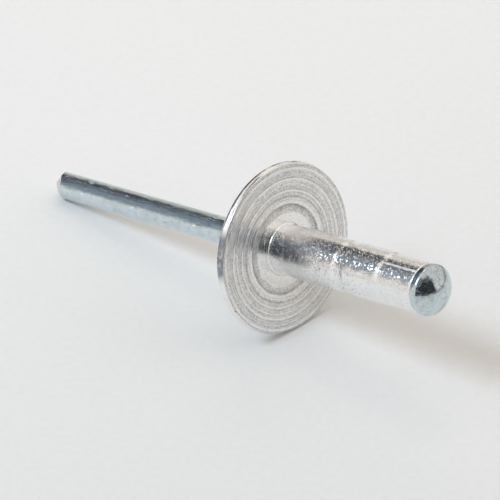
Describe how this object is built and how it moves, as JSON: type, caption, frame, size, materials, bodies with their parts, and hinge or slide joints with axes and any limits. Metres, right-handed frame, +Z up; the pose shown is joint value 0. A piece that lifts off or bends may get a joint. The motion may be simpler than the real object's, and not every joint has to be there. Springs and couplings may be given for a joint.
{
  "type": "blind rivet",
  "caption": "Blind rivet with a wide thin flange ringed on its underside, a crimped multi-grip shank and a drawn mandrel with a domed head, not yet set.",
  "frame": {"origin": "centre of the bottom of the bounding box, on the surface that the rivet lies on", "axes": "+Z up from that surface; +X along the lying rivet, from the mandrel's nipped point towards its domed head; the rivet's own axis rises from +X by 12.7 degrees; -Y is the pictured side"},
  "size_m": [0.05, 0.016, 0.0157],
  "materials": {
    "rivet_aluminium": "cold-forged aluminium, tumbled grain with burnished bands",
    "mandrel_steel": "zinc-plated drawn steel wire, pale blue passivation"
  },
  "bodies": {
    "root": {"rivet_body": "rivet_aluminium", "mandrel": "mandrel_steel"}
  },
  "joints": []
}
